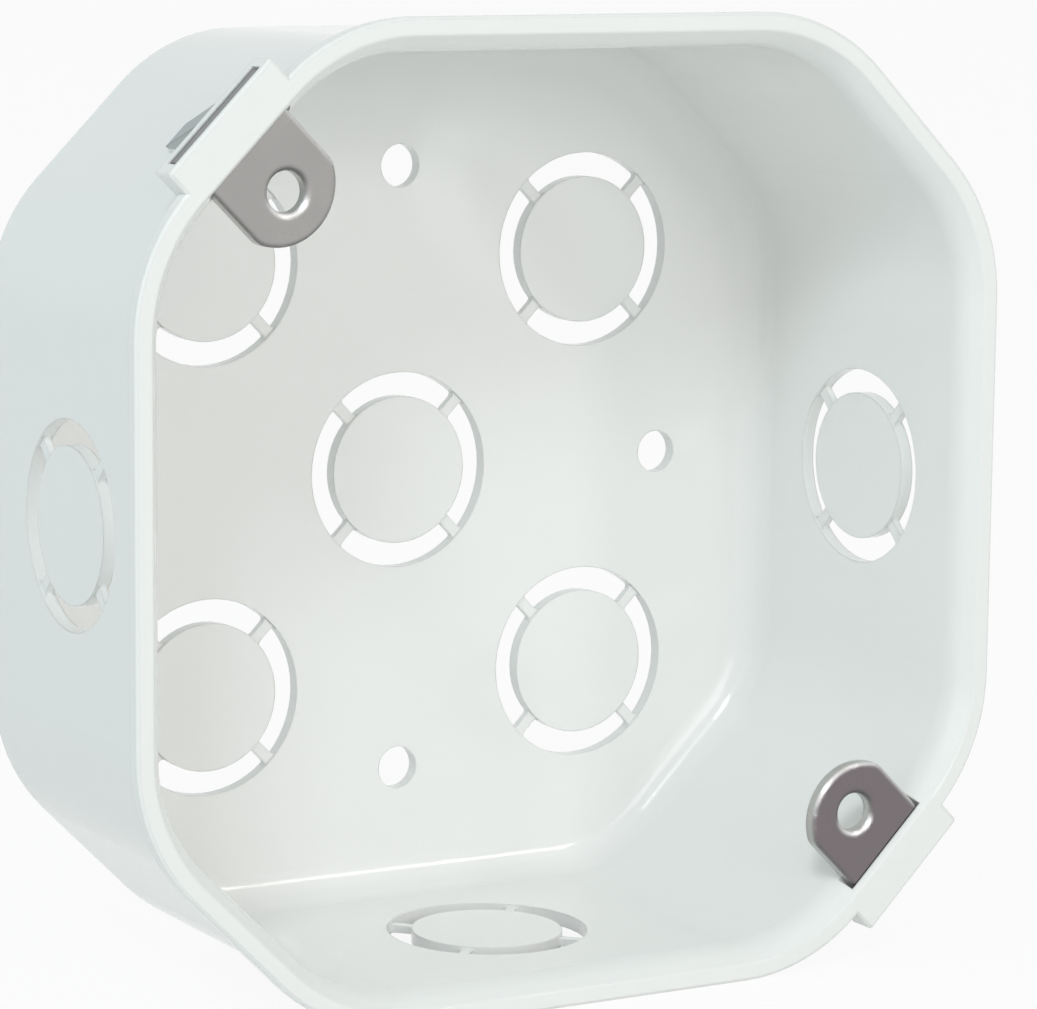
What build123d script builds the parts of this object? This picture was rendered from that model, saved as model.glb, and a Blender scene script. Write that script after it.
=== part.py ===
"""Octagonal wiring box: one moulded plastic body and two stamped metal cover ears.

Millimetres. +Z is up, +X to the right of someone facing the open side, and the box opens
towards -Y. The origin is the centre of the outside of the back, so the back lies on y = 0.
"""
import os
from math import atan, cos, degrees, radians, sin, sqrt, tan

from build123d import *

# Body: a square with slanted corners, flared at the rim and drafted towards the back
rim_width = 101.8
corner_cut = 15.53
corner_radius = 21.0
box_depth = 41.5
side_wall = 1.5
back_wall = 1.5
draft_angle = 0.7
rim_face_width = 1.85
rim_edge_depth = 1.6
flare_reach = 2.0
flare_depth = 4.4
flare_blend_radius = 4.0
back_edge_radius = 2.2
floor_edge_radius = 3.5
rim_inner_round = 0.3
rim_outer_bevel = 0.3

# Knockouts: discs held in their holes by four thin bridges each
knockout_diameter = 21.5
knockout_slot = 2.65
bridge_width = 1.2
bridge_thickness = 0.8
slot_end_radius = 0.55
back_knockout_pitch = 46.6
wall_knockout_height = 21.5

# Screw holes through the back
screw_hole_diameter = 4.7
screw_circle_diameter = 66.5

# Cover ears: a flat tab with a rounded tip, and a wider head that stops in its pocket
upper_ear_angle = 135
ear_thickness = 1.4
ear_width = 11.3
ear_tip_radius = 6.2
ear_tip_margin = 5.05
ear_corner_radius = 2.0
ear_edge_round = 0.3
ear_head_width = 12.4
ear_head_length = 1.6
cover_hole_inset = 8.05
cover_hole_diameter = 4.1
cover_hole_round = 0.5

# Pockets: ledges outside the slanted corners, slotted for the ears
pocket_length = 15.5
pocket_reach = 2.65
pocket_depth = 3.1
pocket_corner_radius = 0.4
pocket_lip = 0.6
ear_clearance = 0.1
ear_side_clearance = 0.4
head_side_clearance = 0.2
gusset_width = 3.0
gusset_length = 12.5
gusset_end_height = 0.8

draft_slope = tan(radians(draft_angle))
flare_slope = (flare_reach + flare_depth * draft_slope) / (flare_depth - rim_edge_depth)
flare_angle = degrees(atan(flare_slope))
mouth_depth = (flare_reach + side_wall - rim_face_width) / (flare_slope - draft_slope)
rim_plane = Plane.XZ.offset(box_depth)
wall_angles = (0, 90, 180, 270)
ear_angles = {"upper_ear": upper_ear_angle, "lower_ear": upper_ear_angle - 180}
rim_corner = rim_width / sqrt(2) - corner_cut
pocket_face = rim_corner + pocket_reach
slot_height = ear_thickness + 2 * ear_clearance
ear_top = pocket_lip + ear_clearance
cover_hole_reach = rim_corner - cover_hole_inset
ear_tip = cover_hole_reach - ear_tip_margin
ear_end = pocket_face - ear_clearance - pocket_depth * draft_slope
head_stop = ear_end - ear_head_length
wall_corner = rim_corner - flare_reach
past_wall = 4 * side_wall
pick_margin = 0.01


def outward(angle):
    """Unit vector away from the box's axis, at an angle from +X towards +Z."""
    return Vector(cos(radians(angle)), 0, sin(radians(angle)))


def ear_plane(angle, depth):
    """Plane behind the rim face: x away from the axis, y along the corner, z into the box."""
    return Plane(origin=(0, depth - box_depth, 0), x_dir=outward(angle), z_dir=(0, 1, 0))


def gusset_plane(angle):
    """Plane through the axis and one slanted corner: x away from the axis, y into the box."""
    return Plane(origin=(0, -box_depth, 0), x_dir=outward(angle), z_dir=outward(angle + 90))


def corner_at(depth):
    """Distance from the axis to the outside of a slanted wall, at a depth behind the rim."""
    return wall_corner - depth * draft_slope


def knockout_planes():
    """Mid-wall planes of every knockout, back first, each with its z square to the wall."""
    half = back_knockout_pitch / 2
    spots = [(0, 0)] + [(x, z) for x in (-half, half) for z in (-half, half)]
    planes = [Plane((x, -back_wall / 2, z), x_dir=(1, 0, 0), z_dir=(0, 1, 0)) for x, z in spots]
    inset = flare_reach + (box_depth - wall_knockout_height) * draft_slope + side_wall / 2
    reach = rim_width / 2 - inset
    for angle in wall_angles:
        middle = outward(angle) * reach + Vector(0, -wall_knockout_height, 0)
        square = outward(angle) + Vector(0, draft_slope, 0)
        planes.append(Plane(middle, x_dir=outward(angle + 90), z_dir=square))
    return planes


def rim_outline(shrink):
    """Outline of the body at the rim, moved inwards: a square cut by a square on its corner."""
    Rectangle(rim_width - 2 * shrink, rim_width - 2 * shrink)
    across_corners = 2 * (rim_corner - shrink)
    Rectangle(across_corners, across_corners, rotation=45, mode=Mode.INTERSECT)


def edges_at(piece, y):
    """Edges of a piece that lie in one plane parallel to the back."""
    return piece.edges().filter_by_position(Axis.Y, y - pick_margin, y + pick_margin)


with BuildPart() as box_body:
    # Drafted outside with a rounded back edge
    with BuildSketch(rim_plane) as outside:
        rim_outline(flare_reach)
        fillet(outside.vertices(), corner_radius - flare_reach)
    extrude(amount=-box_depth)
    draft(box_body.faces().sort_by(Axis.Y)[1:-1], rim_plane, -draft_angle)
    fillet(box_body.faces().sort_by(Axis.Y)[-1].edges(), back_edge_radius)

    # Rim with a straight edge, and the flare that leads the wall out to it
    with BuildSketch(rim_plane.offset(-rim_edge_depth)) as rim:
        rim_outline(0)
        fillet(rim.vertices(), corner_radius)
    extrude(amount=rim_edge_depth)
    extrude(rim.sketch, amount=-flare_depth, taper=flare_angle)
    fillet(edges_at(box_body, flare_depth - box_depth), flare_blend_radius)

    # Ear pockets on the slanted corners
    pocket_root = wall_corner - side_wall / 2
    with BuildSketch(rim_plane) as pockets:
        with PolarLocations((pocket_root + pocket_face) / 2, 2, start_angle=ear_angles["lower_ear"]):
            Rectangle(pocket_face - pocket_root, pocket_length)
        fillet(pockets.vertices().sort_by_distance((0, 0, 0))[-4:], pocket_corner_radius)
    extrude(amount=-pocket_depth, taper=draft_angle)

    # Gussets that brace the pockets against the slanted corners
    gusset_end = pocket_depth + gusset_length
    for angle in ear_angles.values():
        with BuildSketch(gusset_plane(angle)):
            with BuildLine():
                Polyline(
                    (pocket_face - pocket_depth * draft_slope, pocket_depth),
                    (corner_at(gusset_end) + gusset_end_height, gusset_end),
                    (corner_at(gusset_end) - side_wall / 2, gusset_end),
                    (corner_at(pocket_depth) - side_wall / 2, pocket_depth),
                    close=True,
                )
            make_face()
        extrude(amount=gusset_width / 2, both=True)

    # Hollow inside with a rounded floor edge
    with BuildSketch(rim_plane) as inside:
        rim_outline(flare_reach + side_wall)
        fillet(inside.vertices(), corner_radius - flare_reach - side_wall)
    extrude(amount=back_wall - box_depth, mode=Mode.SUBTRACT)
    draft(box_body.faces(Select.LAST).sort_by(Axis.Y)[1:-1], rim_plane, draft_angle)
    fillet(edges_at(box_body, -back_wall), floor_edge_radius)

    # Mouth that flares like the outside, then the soft edges of the rim
    with BuildSketch(rim_plane) as mouth:
        rim_outline(rim_face_width)
        fillet(mouth.vertices(), corner_radius - rim_face_width)
    extrude(amount=-2 * mouth_depth, taper=flare_angle, mode=Mode.SUBTRACT)
    fillet(edges_at(box_body, mouth_depth - box_depth), flare_blend_radius)
    rim_face = box_body.faces().sort_by(Axis.Y)[0]
    fillet(rim_face.inner_wires()[0].edges(), rim_inner_round)
    rim_face = box_body.faces().sort_by(Axis.Y)[0]
    chamfer(rim_face.outer_wire().edges(), rim_outer_bevel)

    # Stepped slots that take the ears
    neck_slot_width = ear_width + 2 * ear_side_clearance
    head_slot_width = ear_head_width + 2 * head_side_clearance
    for angle in ear_angles.values():
        with BuildSketch(ear_plane(angle, pocket_lip)):
            with Locations((head_stop, 0)):
                Rectangle(past_wall, neck_slot_width, align=(Align.MAX, Align.CENTER))
                Rectangle(past_wall, head_slot_width, align=(Align.MIN, Align.CENTER))
        extrude(amount=slot_height, mode=Mode.SUBTRACT)

    # Knockouts: a ring thinned from both faces, then four slots with rounded ends through it
    ring_outside = knockout_diameter / 2
    ring_inside = ring_outside - knockout_slot
    for side in (1, -1):
        ring_planes = [plane.offset(side * bridge_thickness / 2) for plane in knockout_planes()]
        with BuildSketch(*ring_planes):
            Circle(ring_outside)
            Circle(ring_inside, mode=Mode.SUBTRACT)
        extrude(amount=side * side_wall, mode=Mode.SUBTRACT)
    with BuildSketch(*knockout_planes()) as slots:
        Circle(ring_outside)
        Circle(ring_inside, mode=Mode.SUBTRACT)
        Rectangle(knockout_diameter, bridge_width, rotation=45, mode=Mode.SUBTRACT)
        Rectangle(knockout_diameter, bridge_width, rotation=-45, mode=Mode.SUBTRACT)
        fillet(slots.vertices(), slot_end_radius)
    extrude(amount=bridge_thickness / 2, both=True, mode=Mode.SUBTRACT)

    # Screw holes through the back
    with BuildSketch(Plane.XZ):
        with PolarLocations(screw_circle_diameter / 2, len(wall_angles)):
            Circle(screw_hole_diameter / 2)
    extrude(amount=back_wall, mode=Mode.SUBTRACT)

box_body.part.label = "box_body"

os.makedirs("parts", exist_ok=True)
export_step(box_body.part, "parts/box_body.step")

for name, angle in ear_angles.items():
    with BuildPart() as ear:
        with BuildSketch(ear_plane(angle, ear_top)) as tab:
            with Locations((ear_tip + ear_tip_radius, 0)):
                Circle(ear_tip_radius)
                Rectangle(2 * ear_tip_radius, ear_width, mode=Mode.INTERSECT)
            with Locations((head_stop, 0)):
                neck = head_stop - ear_tip - ear_tip_radius
                Rectangle(neck, ear_width, align=(Align.MAX, Align.CENTER))
            fillet(tab.vertices().group_by(Axis.X)[0], ear_corner_radius)
            with Locations((head_stop, 0)):
                Rectangle(ear_head_length, ear_head_width, align=(Align.MIN, Align.CENTER))
            with Locations((cover_hole_reach, 0)):
                Circle(cover_hole_diameter / 2, mode=Mode.SUBTRACT)
        extrude(amount=ear_thickness)
        front = ear.faces().sort_by(Axis.Y)[0]
        fillet(front.inner_wires()[0].edges(), cover_hole_round)
        front = ear.faces().sort_by(Axis.Y)[0]
        fillet(front.outer_wire().edges(), ear_edge_round)
    ear.part.label = name
    export_step(ear.part, f"parts/{name}.step")
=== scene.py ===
# %% [markdown]
# # An octagonal wiring box
# This lesson dresses a moulded plastic wiring box and its two metal ears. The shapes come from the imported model,
# which is loaded as a fixed frame: nothing in it is moved or resized here. What is left for this file is the finish
# of each surface, the floor, the light and the camera.

# %% Load the frame
from math import radians, sqrt

import bpy
import numpy as np
from mathutils import Matrix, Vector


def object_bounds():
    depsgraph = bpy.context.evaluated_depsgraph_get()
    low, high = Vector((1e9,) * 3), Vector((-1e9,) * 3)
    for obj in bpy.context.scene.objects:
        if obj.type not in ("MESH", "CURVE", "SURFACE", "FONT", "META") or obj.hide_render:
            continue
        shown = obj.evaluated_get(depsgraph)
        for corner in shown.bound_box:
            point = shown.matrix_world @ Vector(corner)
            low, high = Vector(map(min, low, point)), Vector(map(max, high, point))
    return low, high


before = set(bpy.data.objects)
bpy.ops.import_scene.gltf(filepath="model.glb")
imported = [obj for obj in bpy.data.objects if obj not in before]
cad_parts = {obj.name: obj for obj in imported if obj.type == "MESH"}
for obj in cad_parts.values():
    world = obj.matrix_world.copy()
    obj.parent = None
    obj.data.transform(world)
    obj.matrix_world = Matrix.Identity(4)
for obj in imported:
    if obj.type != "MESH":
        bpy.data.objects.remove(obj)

cad_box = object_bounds()
print("pieces:", sorted(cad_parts))

# %% [markdown]
# ## Building node trees without repeating ourselves
# A material is a small graph of nodes. It could be wired by hand in the shader editor, but every finish here repeats
# the same few moves, so helpers make them once: plug in a node's inputs, add a node, do a sum, mix two colours, and
# ease a value from 0 to 1.

# %% Node helpers
MM = 0.001


def plug(tree, node, inputs):
    """Links each input, by name or index, to a socket, or sets it to a plain value."""
    for name, value in inputs.items():
        if isinstance(value, bpy.types.NodeSocket):
            tree.links.new(value, node.inputs[name])
        else:
            node.inputs[name].default_value = value


def add(tree, kind, inputs=None, **settings):
    """Adds a node, sets its properties, then plugs in its inputs."""
    node = tree.nodes.new(kind)
    for name, value in settings.items():
        setattr(node, name, value)
    plug(tree, node, inputs or {})
    return node


def maths(tree, operation, *values):
    """The result of one sum, such as a + b, |a| or a > b."""
    return add(tree, "ShaderNodeMath", dict(enumerate(values)), operation=operation).outputs["Value"]


def mix(tree, factor, start, end, kind="RGBA"):
    """The start where the factor is 0, the end where it is 1: colours, or plain values if the kind is FLOAT."""
    inputs = {"Factor": factor, "A": start, "B": end}
    return add(tree, "ShaderNodeMix", inputs, data_type=kind).outputs["Result"]


def ease(tree, value, start, end):
    """A value that goes smoothly from 0 at the start to 1 at the end."""
    inputs = {"Value": value, "From Min": start, "From Max": end}
    return add(tree, "ShaderNodeMapRange", inputs, interpolation_type="SMOOTHSTEP").outputs["Result"]


print("lengths are in metres, so a millimetre is", MM)

# %% [markdown]
# ## Starting a material or a group
# The Principled shader stays in the material itself, where an export can read it. What two finishes share goes into a
# node group with named sockets, which can then be placed in a material like any node that Blender brings along.


# %% Materials and groups
def blank_tree(owner):
    """The emptied node tree of a material or a world."""
    owner.use_nodes = True
    owner.node_tree.nodes.clear()
    return owner.node_tree


def new_material(name):
    """A material that holds only its Principled shader, wired to the output."""
    material = bpy.data.materials.new(name)
    tree = blank_tree(material)
    shader = add(tree, "ShaderNodeBsdfPrincipled")
    add(tree, "ShaderNodeOutputMaterial", {"Surface": shader.outputs["BSDF"]})
    return material, tree, shader


def new_group(name, defaults, results):
    """A shader group that takes a Vector and plain values with defaults, and puts out plain values."""
    group = bpy.data.node_groups.new(name, "ShaderNodeTree")
    group.interface.new_socket("Vector", in_out="INPUT", socket_type="NodeSocketVector")
    for label, default in defaults.items():
        socket = group.interface.new_socket(label, in_out="INPUT", socket_type="NodeSocketFloat")
        socket.default_value = default
    for label in results:
        group.interface.new_socket(label, in_out="OUTPUT", socket_type="NodeSocketFloat")
    return group, add(group, "NodeGroupInput").outputs, add(group, "NodeGroupOutput")


def dress(piece, material):
    """Gives a piece of the frame its finish."""
    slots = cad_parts[piece].data.materials
    slots.clear()
    slots.append(material)
    print("finish:", material.name, "on", piece)


print("slots so far:", {name: len(node.data.materials) for name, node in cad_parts.items()})

# %% [markdown]
# ## Uneven gloss
# No moulded or plated surface is evenly shiny. Slow blotches come from how the material cooled, and fine specks from
# the tool's own surface. A painted image could show both, but noise has no seams and holds at any distance. Both
# finishes need it, so it is one group: it puts out a roughness that wanders between two values, and a height for a
# faint bump.

# %% The uneven gloss group
BLOTCH_DETAIL = 3.0
BLOTCH_LOW, BLOTCH_HIGH = 0.3, 0.7
SPECK_DETAIL = 2.0

gloss, given, gloss_out = new_group(
    "uneven_gloss",
    {"Blotch Scale": 60.0, "Speck Scale": 1500.0, "Smooth": 0.2, "Rough": 0.3},
    ("Roughness", "Height", "Blotch"),
)
blotch = add(gloss, "ShaderNodeTexNoise", {
    "Vector": given["Vector"], "Scale": given["Blotch Scale"], "Detail": BLOTCH_DETAIL}).outputs["Fac"]
speck = add(gloss, "ShaderNodeTexNoise", {
    "Vector": given["Vector"], "Scale": given["Speck Scale"], "Detail": SPECK_DETAIL}).outputs["Fac"]
wander = add(gloss, "ShaderNodeMapRange", {
    "Value": blotch, "From Min": BLOTCH_LOW, "From Max": BLOTCH_HIGH,
    "To Min": given["Smooth"], "To Max": given["Rough"]}).outputs["Result"]
plug(gloss, gloss_out, {"Roughness": wander, "Height": speck, "Blotch": blotch})


def uneven_gloss(tree, place, settings):
    """Puts the group into a material, with scales and a range of roughness of its own."""
    return add(tree, "ShaderNodeGroup", {"Vector": place, **settings}, node_tree=gloss).outputs


print("group:", gloss.name)

# %% [markdown]
# ## Soft edges
# No moulded or stamped edge is razor sharp. The larger rounds are in the solids. The smallest could be modelled too,
# but they would cost many faces and only show as thin bright lines. A Bevel node rounds just the shading, and the
# specks of the gloss group then go on top as a faint bump.

# %% Edges and grain
EDGE_SAMPLES = 2


def soft_edges(tree, radius):
    """The surface's normal, turned over each edge as if the edge had this radius."""
    return add(tree, "ShaderNodeBevel", {"Radius": radius}, samples=EDGE_SAMPLES).outputs["Normal"]


def grained(tree, normal, height, strength, depth):
    """The normal with a faint bump of this depth on it."""
    inputs = {"Normal": normal, "Height": height, "Strength": strength, "Distance": depth}
    return add(tree, "ShaderNodeBump", inputs).outputs["Normal"]


print("edges are sampled", EDGE_SAMPLES, "times")

# %% [markdown]
# ## Finding the braces
# Behind each ear pocket stands a small matt brace. Its faces turn back, away from the front light, so they get
# painted shade: a darker grey than the walls. It is moulded in one with the body, so a material of its own would mean
# changing the mesh, which stays as it is. Its place tells it apart just as well: close to the diagonal that the ears
# lie on, outside the wall and behind the pocket.

# %% The braces' mask
BRACE_REACH = 54.75 * MM
BRACE_HALF = 1.52 * MM
BRACE_START = -38.38 * MM


def beyond(tree, spot, reach):
    """A value of 1 further out than the reach along the ears' diagonal: |x - z| > sqrt(2) reach."""
    along = maths(tree, "ABSOLUTE", maths(tree, "SUBTRACT", spot["X"], spot["Z"]))
    return maths(tree, "GREATER_THAN", along, sqrt(2) * reach)


def on_brace(tree, spot):
    """A value of 1 on the braces: beyond their reach, |x + z| < sqrt(2) half width, and y behind the pocket."""
    across = maths(tree, "ABSOLUTE", maths(tree, "ADD", spot["X"], spot["Z"]))
    narrow = maths(tree, "LESS_THAN", across, sqrt(2) * BRACE_HALF)
    deep = maths(tree, "GREATER_THAN", spot["Y"], BRACE_START)
    return maths(tree, "MINIMUM", beyond(tree, spot, BRACE_REACH), maths(tree, "MINIMUM", narrow, deep))


print("braces are masked", round(2 * BRACE_HALF / MM, 2), "mm wide")

# %% [markdown]
# ## Glossy off-white plastic
# The body is a hard glossy plastic, white with a trace of grey-green. One flat colour would do from afar, but pigment
# is never quite even in a moulding, so the colour drifts very slightly with the blotches of the gloss. The soft edges
# draw the thin bright lines round the discs and slots.

# %% The plastic
PLASTIC_LIGHT = (0.915, 0.92, 0.91, 1.0)
PLASTIC_DARK = (0.90, 0.905, 0.895, 1.0)
BRACE_PAINTED_SHADE = (0.55, 0.57, 0.57, 1.0)
BRACE_ROUGH = 0.9
PLASTIC_GLOSS = {"Blotch Scale": 45.0, "Speck Scale": 1400.0, "Smooth": 0.11, "Rough": 0.16}
PLASTIC_EDGE_ROUND = 0.25 * MM
PLASTIC_GRAIN = 0.05
PLASTIC_GRAIN_DEPTH = 0.1 * MM
PLASTIC_IOR = 1.5
PLASTIC_SPECULAR = 0.4

plastic, tree, shader = new_material("glossy_plastic")
place = add(tree, "ShaderNodeTexCoord").outputs["Object"]
spot = add(tree, "ShaderNodeSeparateXYZ", {"Vector": place}).outputs
uneven = uneven_gloss(tree, place, PLASTIC_GLOSS)
brace = on_brace(tree, spot)
pigment = mix(tree, uneven["Blotch"], PLASTIC_DARK, PLASTIC_LIGHT)
rounded = soft_edges(tree, PLASTIC_EDGE_ROUND)
plug(tree, shader, {
    # Painted shade on the braces: a darker grey base colour where the mask is 1.
    "Base Color": mix(tree, brace, pigment, BRACE_PAINTED_SHADE),
    "Roughness": mix(tree, brace, uneven["Roughness"], BRACE_ROUGH, "FLOAT"),
    "Normal": grained(tree, rounded, uneven["Height"], PLASTIC_GRAIN, PLASTIC_GRAIN_DEPTH),
    "IOR": PLASTIC_IOR,
    "Specular IOR Level": PLASTIC_SPECULAR,
})
dress("box_body", plastic)

# %% [markdown]
# ## Plated steel
# The ears are stamped from thin steel and zinc plated to a smooth satin. Two things tell stamped sheet apart from a
# solid block: the cut sides are brighter than the rolled faces, and every edge is rolled over a little. The rolled
# faces look along Y, so how far the rounded normal turns away from Y picks out the cut sides. Between face and side, a
# rolled edge that looks up gets a painted highlight and one that looks down gets painted shade, and the normal's Z
# tells them apart. The sheared end that shows in the pocket outside the wall is painted dark, as the shade inside the
# pocket's slot. Both ears lie on one diagonal, so the distance along it finds that end.

# %% The metal
CUT_EDGE = (0.50, 0.50, 0.49, 1.0)
UP_EDGE_PAINTED_HIGHLIGHT = (0.95, 0.95, 0.94, 1.0)
DOWN_EDGE_PAINTED_SHADE = (0.10, 0.10, 0.10, 1.0)
END_PAINTED_SHADE = (0.22, 0.23, 0.24, 1.0)
LOOKS_UP = (0.04, 0.32)
LOOKS_DOWN = (-0.05, -0.4)
TURNED_ASIDE = (0.72, 0.3)
END_REACH = 57.9 * MM
METAL_GLOSS = {"Blotch Scale": 220.0, "Speck Scale": 2500.0, "Smooth": 0.22, "Rough": 0.30}
METAL_EDGE_ROUND = 0.6 * MM
METAL_GRAIN = 0.04
METAL_GRAIN_DEPTH = 0.05 * MM


def plated_steel(name, ear_tone):
    """Satin plated sheet of one tone, with bright cut sides, soft edges, painted highlight and shade on the rolled
    edges, and a painted-shade end.
    """
    material, tree, shader = new_material(name)
    place = add(tree, "ShaderNodeTexCoord").outputs["Object"]
    spot = add(tree, "ShaderNodeSeparateXYZ", {"Vector": place}).outputs
    uneven = uneven_gloss(tree, place, METAL_GLOSS)
    rounded = soft_edges(tree, METAL_EDGE_ROUND)
    facing = add(tree, "ShaderNodeSeparateXYZ", {"Vector": rounded}).outputs
    square = maths(tree, "ABSOLUTE", facing["Y"])
    # Painted highlight on rolled edges that look up, painted shade on those that look down.
    tone = mix(tree, ease(tree, facing["Z"], *LOOKS_UP), ear_tone, UP_EDGE_PAINTED_HIGHLIGHT)
    tone = mix(tree, ease(tree, facing["Z"], *LOOKS_DOWN), tone, DOWN_EDGE_PAINTED_SHADE)
    tone = mix(tree, ease(tree, square, *TURNED_ASIDE), tone, CUT_EDGE)
    plug(tree, shader, {
        # Painted shade on the end that shows in the pocket's slot.
        "Base Color": mix(tree, beyond(tree, spot, END_REACH), tone, END_PAINTED_SHADE),
        "Roughness": uneven["Roughness"],
        "Normal": grained(tree, rounded, uneven["Height"], METAL_GRAIN, METAL_GRAIN_DEPTH),
        "Metallic": 1.0,
    })
    return material


print("rolled edges turn within", round(METAL_EDGE_ROUND / MM, 2), "mm")

# %% [markdown]
# ## Two platings
# The ears are alike but for their tone: the lower ear's is darker, with a trace of purple, as a painted reflection of
# the darker surroundings that it mirrors. One function with a tone to fill in is shorter than two materials, and keeps
# them alike in all else.

# %% The ears
EAR_TONES_WITH_PAINTED_REFLECTION = {
    # Painted reflection: the lower ear's tone is darker than the upper one's.
    "upper_ear": (0.365, 0.36, 0.35, 1.0),
    "lower_ear": (0.20, 0.175, 0.185, 1.0),
}

for ear, ear_tone in EAR_TONES_WITH_PAINTED_REFLECTION.items():
    dress(ear, plated_steel("plated_steel_" + ear, ear_tone))

# %% [markdown]
# ## Floor
# The box stands on a plain white floor. More light would make any floor white, but it would burn out the pale plastic
# as well. So the floor glows only where it is seen directly, in a reflection or through a slot. The rest of its colour
# is an ordinary matt white that still takes the box's shadow.

# %% The floor's sheet
FLOOR_HALF = 3.0


def put_in_scene(name, data):
    """A new object in the scene that shows the data."""
    thing = bpy.data.objects.new(name, data)
    bpy.context.scene.collection.objects.link(thing)
    return thing


def floor_sheet(half_width, height):
    """A square sheet: x and y run over a two by two grid of corners, z is the height."""
    x, y = np.meshgrid((-half_width, half_width), (-half_width, half_width))
    points = np.stack([x.ravel(), y.ravel(), np.full(x.size, height)], axis=1)
    mesh = bpy.data.meshes.new("floor")
    mesh.from_pydata(points.tolist(), [], [(0, 1, 3, 2)])
    return put_in_scene("floor", mesh)


floor = floor_sheet(FLOOR_HALF, cad_box[0][2])
print("floor at z =", round(cad_box[0][2], 4))

# %% [markdown]
# ## White where it is seen
# Blender follows many rays from each point of the picture. The Light Path node says what a ray is for, so one mask can
# part the rays that show the surroundings from those that only gather soft light. The floor and the sky both use it.

# %% The floor's paint
WHITE = (1.0, 1.0, 1.0, 1.0)
FLOOR_WHITE = (0.9, 0.9, 0.9, 1.0)
FLOOR_GLOW = 0.92


def seen_directly(tree):
    """A value of 1 for rays that show the surroundings as a picture, and 0 for rays that gather soft light."""
    path = add(tree, "ShaderNodeLightPath").outputs
    shown = maths(tree, "MAXIMUM", path["Is Camera Ray"], path["Is Glossy Ray"])
    return maths(tree, "MAXIMUM", shown, path["Is Transmission Ray"])


paint = bpy.data.materials.new("floor_white")
tree = blank_tree(paint)
matt = add(tree, "ShaderNodeBsdfDiffuse", {"Color": FLOOR_WHITE})
glow = add(tree, "ShaderNodeEmission", {"Color": WHITE, "Strength": 1.0})
share = maths(tree, "MULTIPLY", seen_directly(tree), FLOOR_GLOW)
blend = add(tree, "ShaderNodeMixShader", {"Fac": share, 1: matt.outputs["BSDF"], 2: glow.outputs["Emission"]})
add(tree, "ShaderNodeOutputMaterial", {"Surface": blend.outputs["Shader"]})
floor.data.materials.append(paint)
print("paint:", paint.name)

# %% [markdown]
# ## Surroundings
# The box stands in a pale tent, a little brighter and warmer in front of it than behind. A panorama photograph could
# light it too, but two colours blended along Y are enough for so plain a place. Seen directly, the tent is white.

# %% The tent
TENT_FRONT = (0.47, 0.49, 0.46, 1.0)
TENT_BACK = (0.42, 0.46, 0.46, 1.0)

world = bpy.data.worlds.new("light_tent")
bpy.context.scene.world = world
tree = blank_tree(world)
heading = add(tree, "ShaderNodeTexCoord").outputs["Generated"]
towards = add(tree, "ShaderNodeSeparateXYZ", {"Vector": heading}).outputs
behind = add(tree, "ShaderNodeMapRange", {"Value": towards["Y"], "From Min": -1.0, "From Max": 1.0})
tent = mix(tree, behind.outputs["Result"], TENT_FRONT, TENT_BACK)
sky = add(tree, "ShaderNodeBackground", {"Color": mix(tree, seen_directly(tree), tent, WHITE), "Strength": 1.0})
add(tree, "ShaderNodeOutputWorld", {"Surface": sky.outputs["Background"]})
print("tent:", TENT_FRONT[:3], "in front,", TENT_BACK[:3], "behind")

# %% [markdown]
# ## Aiming a lamp
# A point lamp would throw hard shadows into the box, so every lamp is a square panel. A Track To constraint could turn
# it to the box, but a panel that never moves needs only one matrix: the third axis looks away from the box, because an
# area lamp shines along its own -Z. The camera doesn't see the panels themselves.

# %% A soft panel
UP = (0.0, 0.0, 1.0)
PANEL_DISTANCE = 1.5


def direction(azimuth, elevation):
    """Unit vector from the box: azimuth turns from the front (-Y) towards +X, elevation is up from level."""
    turn, rise = radians(azimuth), radians(elevation)
    return np.array([np.sin(turn) * np.cos(rise), -np.cos(turn) * np.cos(rise), np.sin(rise)])


def placed(axes, origin):
    """The matrix with these three axes as its columns, and this origin."""
    matrix = np.eye(4)
    matrix[:3, :3] = np.stack(axes, axis=1)
    matrix[:3, 3] = origin
    return Matrix(matrix)


def panel(name, azimuth, elevation, size, power, colour):
    """A square area lamp that faces the middle of the box."""
    lamp = bpy.data.lights.new(name, "AREA")
    lamp.size = size
    lamp.energy = power
    lamp.color = colour
    holder = put_in_scene(name, lamp)
    holder.visible_camera = False
    away = direction(azimuth, elevation)
    side = np.cross(UP, away)
    side /= np.linalg.norm(side)
    origin = np.mean(cad_box, axis=0) + away * PANEL_DISTANCE
    holder.matrix_world = placed([side, np.cross(away, side), away], origin)
    print(name, "at", origin.round(2))


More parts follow.
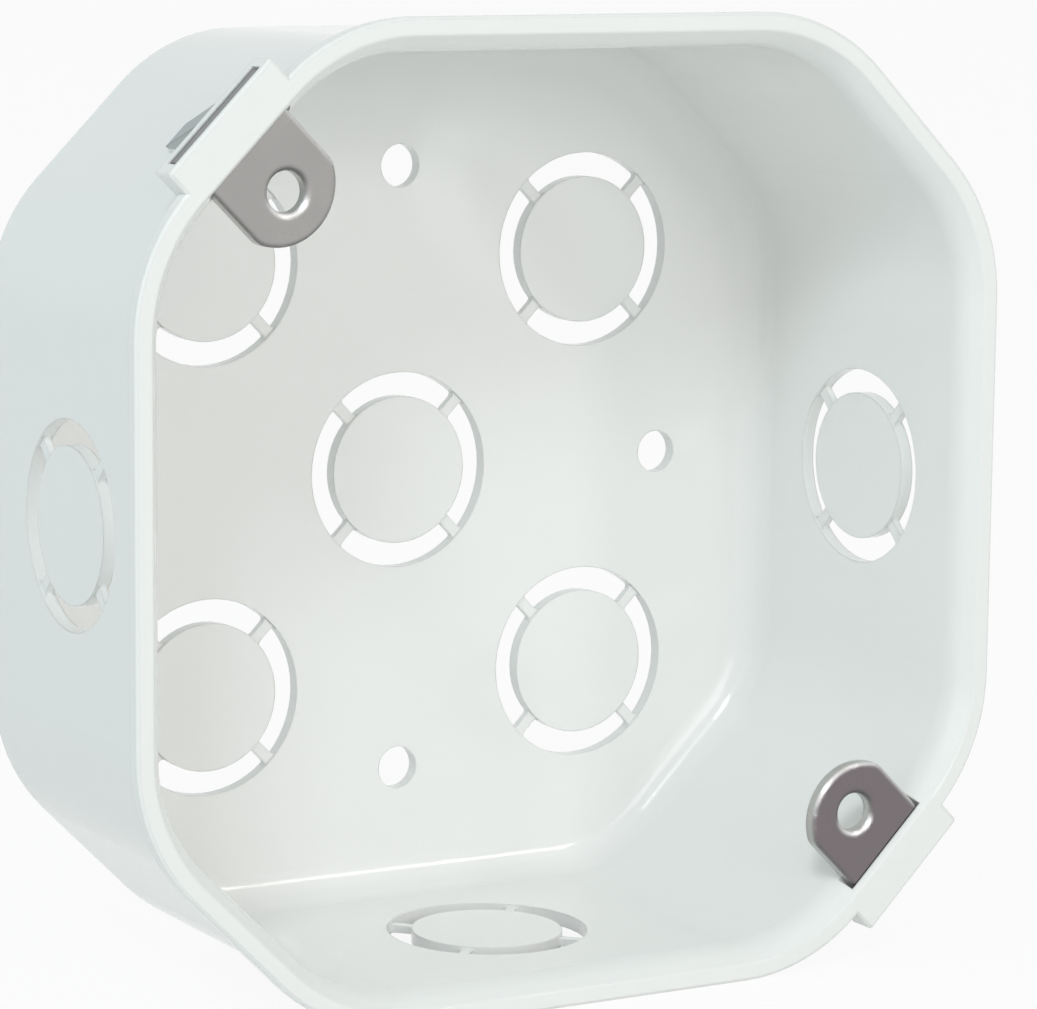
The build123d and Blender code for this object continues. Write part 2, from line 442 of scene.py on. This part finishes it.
print("panels stand", PANEL_DISTANCE, "m away")

# %% [markdown]
# ## Lamps
# Four panels shape the box: a warm one in front, a cool key above at the left, and a cool one further left for the
# outside of the walls. A small warm one at the right draws the bright lines along the fillets.

# %% The panels
PANELS = {
    "front_panel": {"azimuth": 0, "elevation": 13, "size": 0.6, "power": 3.7, "colour": (1.0, 0.92, 0.90)},
    "key_panel": {"azimuth": -40, "elevation": 40, "size": 0.3, "power": 5.7, "colour": (0.87, 0.96, 1.0)},
    "left_panel": {"azimuth": -80, "elevation": 17, "size": 0.8, "power": 2.1, "colour": (0.70, 0.93, 1.0)},
    "right_panel": {"azimuth": 31, "elevation": 20, "size": 0.18, "power": 1.5, "colour": (1.0, 0.94, 0.91)},
}

for name, settings in PANELS.items():
    panel(name, **settings)

# %% [markdown]
# ## Camera
# A long lens a little above the box, looking at its open side from the left. Turning the camera could bring the box to
# the same spot, but its upright edges would lean. The shift slides the picture in its frame without tilting the view.

# %% The camera
CAMERA_PLACE = np.array([-227.3, -410.9, 66.5]) * MM
CAMERA_YAW = 30.14
CAMERA_DIP = 9.51
CAMERA_ROLL = -0.46
LENS = 149.9
SENSOR = 36.0
SHIFT = (0.0372, 0.0708)
CLIP_START = 0.01

yaw, dip, roll = radians(CAMERA_YAW), radians(CAMERA_DIP), radians(CAMERA_ROLL)
ahead = np.array([np.sin(yaw) * np.cos(dip), np.cos(yaw) * np.cos(dip), -np.sin(dip)])
right = np.array([np.cos(yaw), -np.sin(yaw), 0.0])
down = np.cross(ahead, right)
right, down = np.cos(roll) * right + np.sin(roll) * down, np.cos(roll) * down - np.sin(roll) * right

lens = bpy.data.cameras.new("camera")
lens.lens = LENS
lens.sensor_width = SENSOR
lens.shift_x, lens.shift_y = SHIFT
lens.clip_start = CLIP_START
camera = put_in_scene("camera", lens)
camera.matrix_world = placed([right, -down, -ahead], CAMERA_PLACE)
bpy.context.scene.camera = camera
bpy.context.scene.view_settings.view_transform = "Standard"
print("camera looks along", ahead.round(3))
